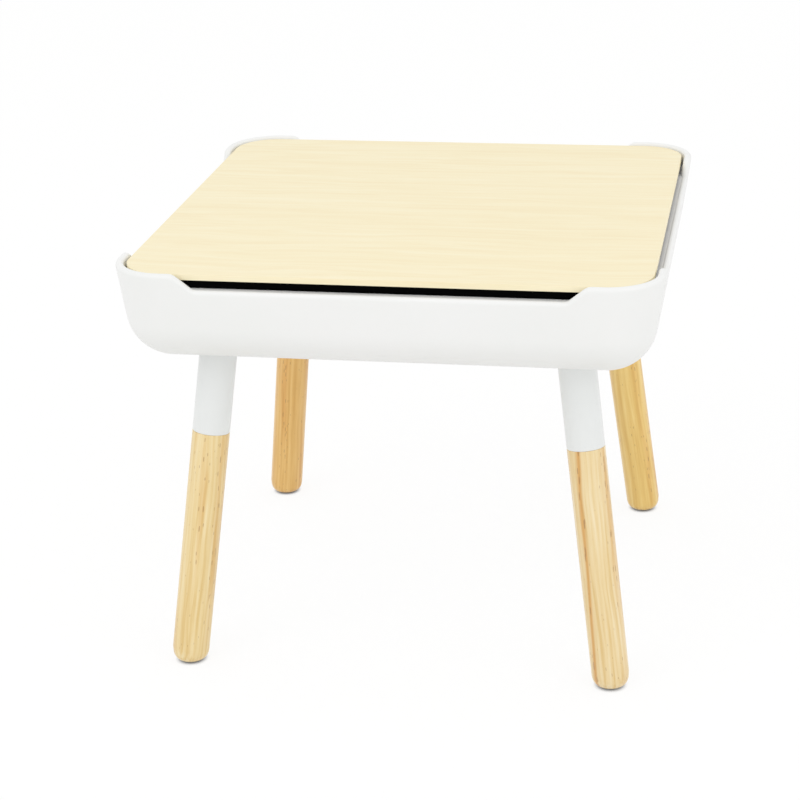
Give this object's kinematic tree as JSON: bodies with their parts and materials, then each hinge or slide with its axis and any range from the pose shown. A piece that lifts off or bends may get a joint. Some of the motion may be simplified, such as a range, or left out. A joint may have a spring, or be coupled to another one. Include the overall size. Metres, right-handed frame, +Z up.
{
  "type": "kids table with storage",
  "caption": "Low square children's table: a white moulded storage tub on splayed round wooden legs in white sockets, closed by a lift-off wood-look lid with a chalkboard underside.",
  "frame": {"origin": "on the floor, under the middle of the table", "axes": "+X to the right and +Y to the back seen from the side whose edge is nearest the viewer, +Z up; the table is the same after each quarter turn about Z"},
  "size_m": [0.563, 0.563, 0.46],
  "materials": {
    "tub_white": "satin moulded polypropylene",
    "socket_white": "satin moulded plastic",
    "leg_wood": "clear-lacquered rubberwood, grain along the leg",
    "lid_maple": "pale maple-grained sheet, matt, grain from left to right",
    "lid_fibreboard": "medium-density fibreboard",
    "chalkboard_black": "fibreboard with matt black chalkboard paint",
    "glide_felt": "brown felt",
    "bolt_steel": "zinc-plated steel",
    "insert_zinc": "yellow-passivated zinc"
  },
  "bodies": {
    "table": {"tub": "tub_white", "socket_front_left": "socket_white", "socket_front_right": "socket_white", "socket_back_right": "socket_white", "socket_back_left": "socket_white", "leg_front_left": "leg_wood", "leg_front_right": "leg_wood", "leg_back_right": "leg_wood", "leg_back_left": "leg_wood", "glide_front_left": "glide_felt", "glide_front_right": "glide_felt", "glide_back_right": "glide_felt", "glide_back_left": "glide_felt", "leg_bolts": "bolt_steel", "bolt_washers": "bolt_steel", "threaded_inserts": "insert_zinc", "bolt_caps": "tub_white"},
    "lid": {"lid_board": "lid_fibreboard", "lid_top_sheet": "lid_maple", "lid_edge_band": "lid_maple", "chalkboard": "chalkboard_black"}
  },
  "joints": [
    {"name": "lid_lift", "type": "slide", "parent": "table", "child": "lid", "axis": [0, 0, 1], "range_m": [0, 0.15]}
  ]
}
